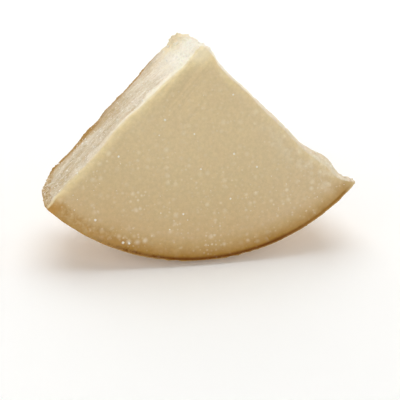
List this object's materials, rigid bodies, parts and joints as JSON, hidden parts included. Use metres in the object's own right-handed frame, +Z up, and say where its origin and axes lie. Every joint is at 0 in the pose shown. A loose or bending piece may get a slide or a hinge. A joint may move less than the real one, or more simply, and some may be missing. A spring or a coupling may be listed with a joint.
{
  "type": "parmesan chunk",
  "caption": "Wedge of hard aged cheese standing on its curved rind, with a smooth sawn face in front and rough broken sides.",
  "frame": {"origin": "centre of the small flat spot of rind that the chunk stands on, straight under the middle of the rind's edge", "axes": "+Z up, +X to the right along the sawn face, the longest way across; the sawn face looks towards -Y and leans back, so its top is further towards +Y"},
  "size_m": [0.3073, 0.145, 0.2127],
  "materials": {
    "cheese": "dry satin cheese paste with a golden brown rind"
  },
  "bodies": {
    "root": {"parmesan_chunk": "cheese"}
  },
  "joints": []
}
